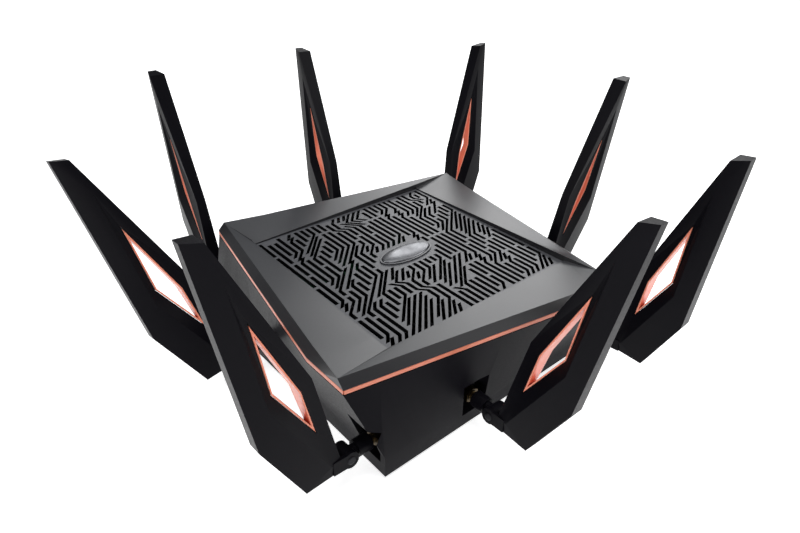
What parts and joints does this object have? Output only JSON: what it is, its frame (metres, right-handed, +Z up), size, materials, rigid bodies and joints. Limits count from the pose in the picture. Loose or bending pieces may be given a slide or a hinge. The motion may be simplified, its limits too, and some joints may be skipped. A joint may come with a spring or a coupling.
{
  "type": "wireless router",
  "caption": "Square black wireless router with raised grey vent grille, copper accent lines and angular fin antennas on swivelling stalks around its edges",
  "frame": {"origin": "middle of the bounding box, on the surface it stands on", "axes": "+Z up; -Y is the side with the front antennas; the sockets face +Y"},
  "size_m": [0.3993, 0.3858, 0.1773],
  "materials": {
    "body_plastic": "fine moulded texture",
    "panel_plastic": "satin paint",
    "grille_plastic": "satin paint",
    "copper_trim": "metallic copper paint",
    "bright_plate": "polished plate",
    "diffuser": "frosted moulding",
    "brass_jack": "machined",
    "port_shell": "stamped sheet",
    "foot_rubber": "moulded",
    "board": "solder mask",
    "sink_aluminium": "extruded",
    "pad": "soft pad"
  },
  "bodies": {
    "housing": {"lower_housing": "body_plastic", "base_cover": "body_plastic", "rubber_foot_1": "foot_rubber", "rubber_foot_2": "foot_rubber", "rubber_foot_3": "foot_rubber", "rubber_foot_4": "foot_rubber", "top_cover": "panel_plastic", "vent_grille": "grille_plastic", "grille_medallion": "bright_plate", "medallion_light_guide": "diffuser", "accent_strip_front": "copper_trim", "accent_strip_left": "copper_trim", "main_board": "board", "heat_sink": "sink_aluminium", "rf_shield": "port_shell", "thermal_pad": "pad", "lan_ports": "port_shell", "wan_port": "port_shell", "fast_lan_port": "port_shell", "usb_ports": "port_shell", "dc_jack": "body_plastic", "status_light_bar": "diffuser", "button_board": "board", "antenna_jack_1": "brass_jack", "antenna_jack_2": "brass_jack", "antenna_jack_3": "brass_jack", "antenna_jack_4": "brass_jack", "antenna_jack_5": "brass_jack", "antenna_jack_6": "brass_jack", "antenna_jack_7": "brass_jack", "antenna_jack_8": "brass_jack"},
    "knuckle_1": {"antenna_knuckle_1": "body_plastic"},
    "antenna_1": {"antenna_blade_1": "body_plastic", "antenna_trim_1": "copper_trim"},
    "knuckle_2": {"antenna_knuckle_2": "body_plastic"},
    "antenna_2": {"antenna_blade_2": "body_plastic", "antenna_trim_2": "copper_trim"},
    "knuckle_3": {"antenna_knuckle_3": "body_plastic"},
    "antenna_3": {"antenna_blade_3": "body_plastic", "antenna_trim_3": "copper_trim"},
    "knuckle_4": {"antenna_knuckle_4": "body_plastic"},
    "antenna_4": {"antenna_blade_4": "body_plastic", "antenna_trim_4": "copper_trim"},
    "knuckle_5": {"antenna_knuckle_5": "body_plastic"},
    "antenna_5": {"antenna_blade_5": "body_plastic", "antenna_trim_5": "copper_trim"},
    "knuckle_6": {"antenna_knuckle_6": "body_plastic"},
    "antenna_6": {"antenna_blade_6": "body_plastic", "antenna_trim_6": "copper_trim"},
    "knuckle_7": {"antenna_knuckle_7": "body_plastic"},
    "antenna_7": {"antenna_blade_7": "body_plastic", "antenna_trim_7": "copper_trim"},
    "knuckle_8": {"antenna_knuckle_8": "body_plastic"},
    "antenna_8": {"antenna_blade_8": "body_plastic", "antenna_trim_8": "copper_trim"},
    "power_button": {"power_button": "body_plastic"},
    "reset_button": {"reset_button": "body_plastic"},
    "wps_button": {"wps_button": "body_plastic"},
    "wifi_button": {"wifi_button": "body_plastic"},
    "light_button": {"light_button": "body_plastic"}
  },
  "joints": [
    {"name": "antenna_swivel_1", "type": "hinge", "parent": "housing", "child": "knuckle_1", "pos_m": [-0.03156, -0.122, 0.02], "axis": [0, 1, 0], "range_deg": [-24.9, 15.1]},
    {"name": "antenna_tilt_1", "type": "hinge", "parent": "knuckle_1", "child": "antenna_1", "pos_m": [-0.03156, -0.122, 0.02], "axis": [0.9963, 0, -0.0854], "range_deg": [-9, 41]},
    {"name": "antenna_swivel_2", "type": "hinge", "parent": "housing", "child": "knuckle_2", "pos_m": [0.08988, -0.122, 0.02], "axis": [0, 1, 0], "range_deg": [-16.6, 23.4]},
    {"name": "antenna_tilt_2", "type": "hinge", "parent": "knuckle_2", "child": "antenna_2", "pos_m": [0.08988, -0.122, 0.02], "axis": [0.9982, 0, 0.0593], "range_deg": [-6.6, 43.4]},
    {"name": "antenna_swivel_3", "type": "hinge", "parent": "housing", "child": "knuckle_3", "pos_m": [0.122, -0.03156, 0.02], "axis": [-1, 0, 0], "range_deg": [-19.5, 20.5]},
    {"name": "antenna_tilt_3", "type": "hinge", "parent": "knuckle_3", "child": "antenna_3", "pos_m": [0.122, -0.03156, 0.02], "axis": [0, 1, 0.0087], "range_deg": [-12.7, 37.3]},
    {"name": "antenna_swivel_4", "type": "hinge", "parent": "housing", "child": "knuckle_4", "pos_m": [0.122, 0.08988, 0.02], "axis": [-1, 0, 0], "range_deg": [-29.8, 10.2]},
    {"name": "antenna_tilt_4", "type": "hinge", "parent": "knuckle_4", "child": "antenna_4", "pos_m": [0.122, 0.08988, 0.02], "axis": [0, 0.9854, -0.1702], "range_deg": [-9.7, 40.3]},
    {"name": "antenna_swivel_5", "type": "hinge", "parent": "housing", "child": "knuckle_5", "pos_m": [0.03156, 0.122, 0.02], "axis": [0, -1, 0], "range_deg": [-16.8, 23.2]},
    {"name": "antenna_tilt_5", "type": "hinge", "parent": "knuckle_5", "child": "antenna_5", "pos_m": [0.03156, 0.122, 0.02], "axis": [-0.9984, 0, 0.0558], "range_deg": [-10.2, 39.8]},
    {"name": "antenna_swivel_6", "type": "hinge", "parent": "housing", "child": "knuckle_6", "pos_m": [-0.08988, 0.122, 0.02], "axis": [0, -1, 0], "range_deg": [-20, 20]},
    {"name": "antenna_tilt_6", "type": "hinge", "parent": "knuckle_6", "child": "antenna_6", "pos_m": [-0.08988, 0.122, 0.02], "axis": [-1, 0, 0], "range_deg": [-10.7, 39.3]},
    {"name": "antenna_swivel_7", "type": "hinge", "parent": "housing", "child": "knuckle_7", "pos_m": [-0.122, 0.03156, 0.02], "axis": [1, 0, 0], "range_deg": [-5.9, 34.1]},
    {"name": "antenna_tilt_7", "type": "hinge", "parent": "knuckle_7", "child": "antenna_7", "pos_m": [-0.122, 0.03156, 0.02], "axis": [0, -0.9699, 0.2436], "range_deg": [-12.1, 37.9]},
    {"name": "antenna_swivel_8", "type": "hinge", "parent": "housing", "child": "knuckle_8", "pos_m": [-0.122, -0.08988, 0.02], "axis": [1, 0, 0], "range_deg": [-14.9, 25.1]},
    {"name": "antenna_tilt_8", "type": "hinge", "parent": "knuckle_8", "child": "antenna_8", "pos_m": [-0.122, -0.08988, 0.02], "axis": [0, -0.996, 0.0889], "range_deg": [-8.1, 41.9]},
    {"name": "power_press", "type": "slide", "parent": "housing", "child": "power_button", "axis": [0, -1, 0], "range_m": [0, 0.0008], "stiffness_N_per_m": 1000},
    {"name": "reset_press", "type": "slide", "parent": "housing", "child": "reset_button", "axis": [0, -1, 0], "range_m": [0, 0.0008], "stiffness_N_per_m": 1000},
    {"name": "wps_press", "type": "slide", "parent": "housing", "child": "wps_button", "axis": [-1, 0, 0], "range_m": [0, 0.0008], "stiffness_N_per_m": 1000},
    {"name": "wifi_press", "type": "slide", "parent": "housing", "child": "wifi_button", "axis": [-1, 0, 0], "range_m": [0, 0.0008], "stiffness_N_per_m": 1000},
    {"name": "light_press", "type": "slide", "parent": "housing", "child": "light_button", "axis": [-1, 0, 0], "range_m": [0, 0.0008], "stiffness_N_per_m": 1000}
  ]
}
